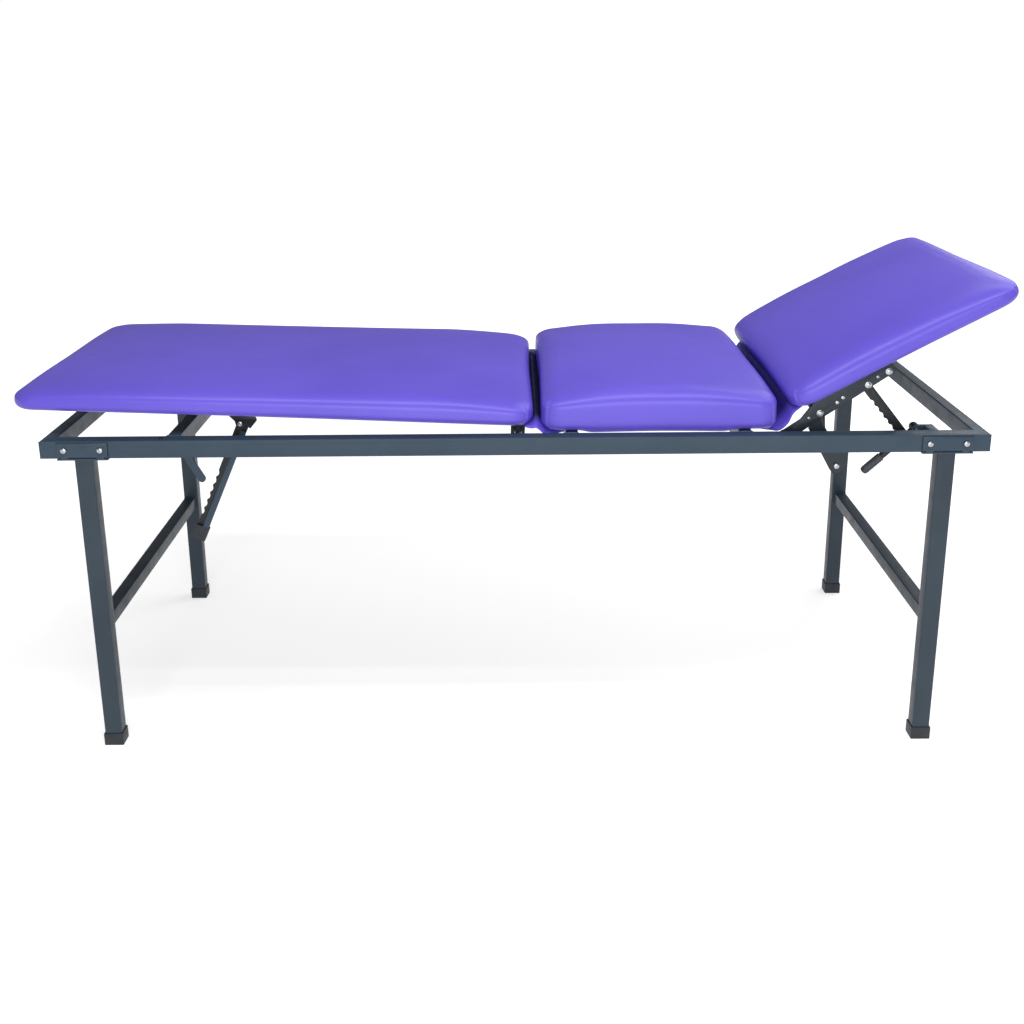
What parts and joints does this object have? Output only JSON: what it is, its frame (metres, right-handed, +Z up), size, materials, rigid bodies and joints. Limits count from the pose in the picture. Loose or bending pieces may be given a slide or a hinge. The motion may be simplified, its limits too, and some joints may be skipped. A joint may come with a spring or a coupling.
{
  "type": "examination table",
  "caption": "Free-standing examination couch: tubular steel frame on bolted legs, with an adjustable leg section, a fixed seat and a ratchet-raised head section.",
  "frame": {"origin": "on the floor under the middle of the frame", "axes": "+X towards the head end, -Y the side with the release levers, +Z up"},
  "size_m": [1.952, 0.6126, 0.9591],
  "materials": {
    "frame_paint": "satin grey-blue powder coat",
    "leg_paint": "satin slate powder coat",
    "black_paint": "semi-gloss black paint",
    "zinc": "bright zinc plate",
    "rubber": "matt black rubber",
    "grip": "dark moulded plastic",
    "caps": "black moulded plastic",
    "vinyl": "violet vinyl-coated upholstery fabric with a fine grain",
    "board": "dark stained plywood"
  },
  "bodies": {
    "frame": {"front_rail": "frame_paint", "back_rail": "frame_paint", "foot_end_rail": "frame_paint", "head_end_rail": "frame_paint", "foot_cross_tube": "frame_paint", "seat_front_cross_tube": "frame_paint", "seat_back_cross_tube": "frame_paint", "front_foot_leg": "leg_paint", "back_foot_leg": "leg_paint", "front_head_leg": "leg_paint", "back_head_leg": "leg_paint", "front_foot_bracket": "frame_paint", "back_foot_bracket": "frame_paint", "front_head_bracket": "frame_paint", "back_head_bracket": "frame_paint", "foot_caps": "caps", "foot_stretcher": "leg_paint", "head_stretcher": "leg_paint", "leg_bolts": "zinc", "leg_nuts": "zinc", "seat_board": "board", "seat_cushion": "vinyl", "foot_gap_strip": "vinyl", "head_gap_strip": "vinyl", "leg_hinge_pins": "zinc", "head_hinge_pins": "zinc", "foot_lever_lug": "frame_paint", "foot_lever_pin": "zinc", "lever_stop_peg": "rubber", "head_lever_bracket": "frame_paint", "head_lever_pin": "zinc"},
    "leg_section": {"leg_board": "board", "leg_cushion": "vinyl", "front_leg_bar": "frame_paint", "back_leg_bar": "frame_paint", "leg_cross_bars": "frame_paint", "leg_hinge_blocks": "black_paint", "foot_ratchet_hook": "black_paint", "foot_ratchet_pin": "zinc"},
    "foot_ratchet": {"foot_ratchet_bar": "black_paint", "foot_ratchet_channel": "frame_paint", "foot_ratchet_cap": "caps"},
    "foot_lever": {"foot_lever": "frame_paint"},
    "head_section": {"head_board": "board", "head_cushion": "vinyl", "front_head_arm": "leg_paint", "back_head_arm": "leg_paint", "head_cross_rods": "black_paint", "head_arm_bolts": "zinc", "stop_plate": "leg_paint", "stop_bumper": "rubber", "head_ratchet_pin": "zinc"},
    "head_ratchet": {"head_ratchet_bar": "black_paint"},
    "head_lever": {"head_lever": "black_paint", "head_lever_grip": "grip"}
  },
  "joints": [
    {"name": "leg_tilt", "type": "hinge", "parent": "frame", "child": "leg_section", "pos_m": [0.006, 0, 0.658], "axis": [0, 1, 0], "range_deg": [-2.4, 14]},
    {"name": "foot_ratchet_swing", "type": "hinge", "parent": "leg_section", "child": "foot_ratchet", "pos_m": [-0.54475, 0, 0.67556], "axis": [0, 1, 0], "range_deg": [-25, 5]},
    {"name": "foot_lever_turn", "type": "hinge", "parent": "frame", "child": "foot_lever", "pos_m": [-0.668, 0, 0.62], "axis": [0, 1, 0], "range_deg": [0, 12]},
    {"name": "head_tilt", "type": "hinge", "parent": "frame", "child": "head_section", "pos_m": [0.53, 0, 0.65], "axis": [0, -1, 0], "range_deg": [-28.4, 0]},
    {"name": "head_ratchet_swing", "type": "hinge", "parent": "head_section", "child": "head_ratchet", "pos_m": [0.68726, 0, 0.75397], "axis": [0, -1, 0], "range_deg": [0, 58.3]},
    {"name": "head_lever_turn", "type": "hinge", "parent": "frame", "child": "head_lever", "pos_m": [0.794, 0, 0.657], "axis": [0, 1, 0], "range_deg": [0, 12]}
  ],
  "couplings": [
    {"joint": "foot_ratchet_swing", "follows": "leg_tilt", "ratio": -1.74},
    {"joint": "head_ratchet_swing", "follows": "head_tilt", "ratio": -2.05}
  ]
}
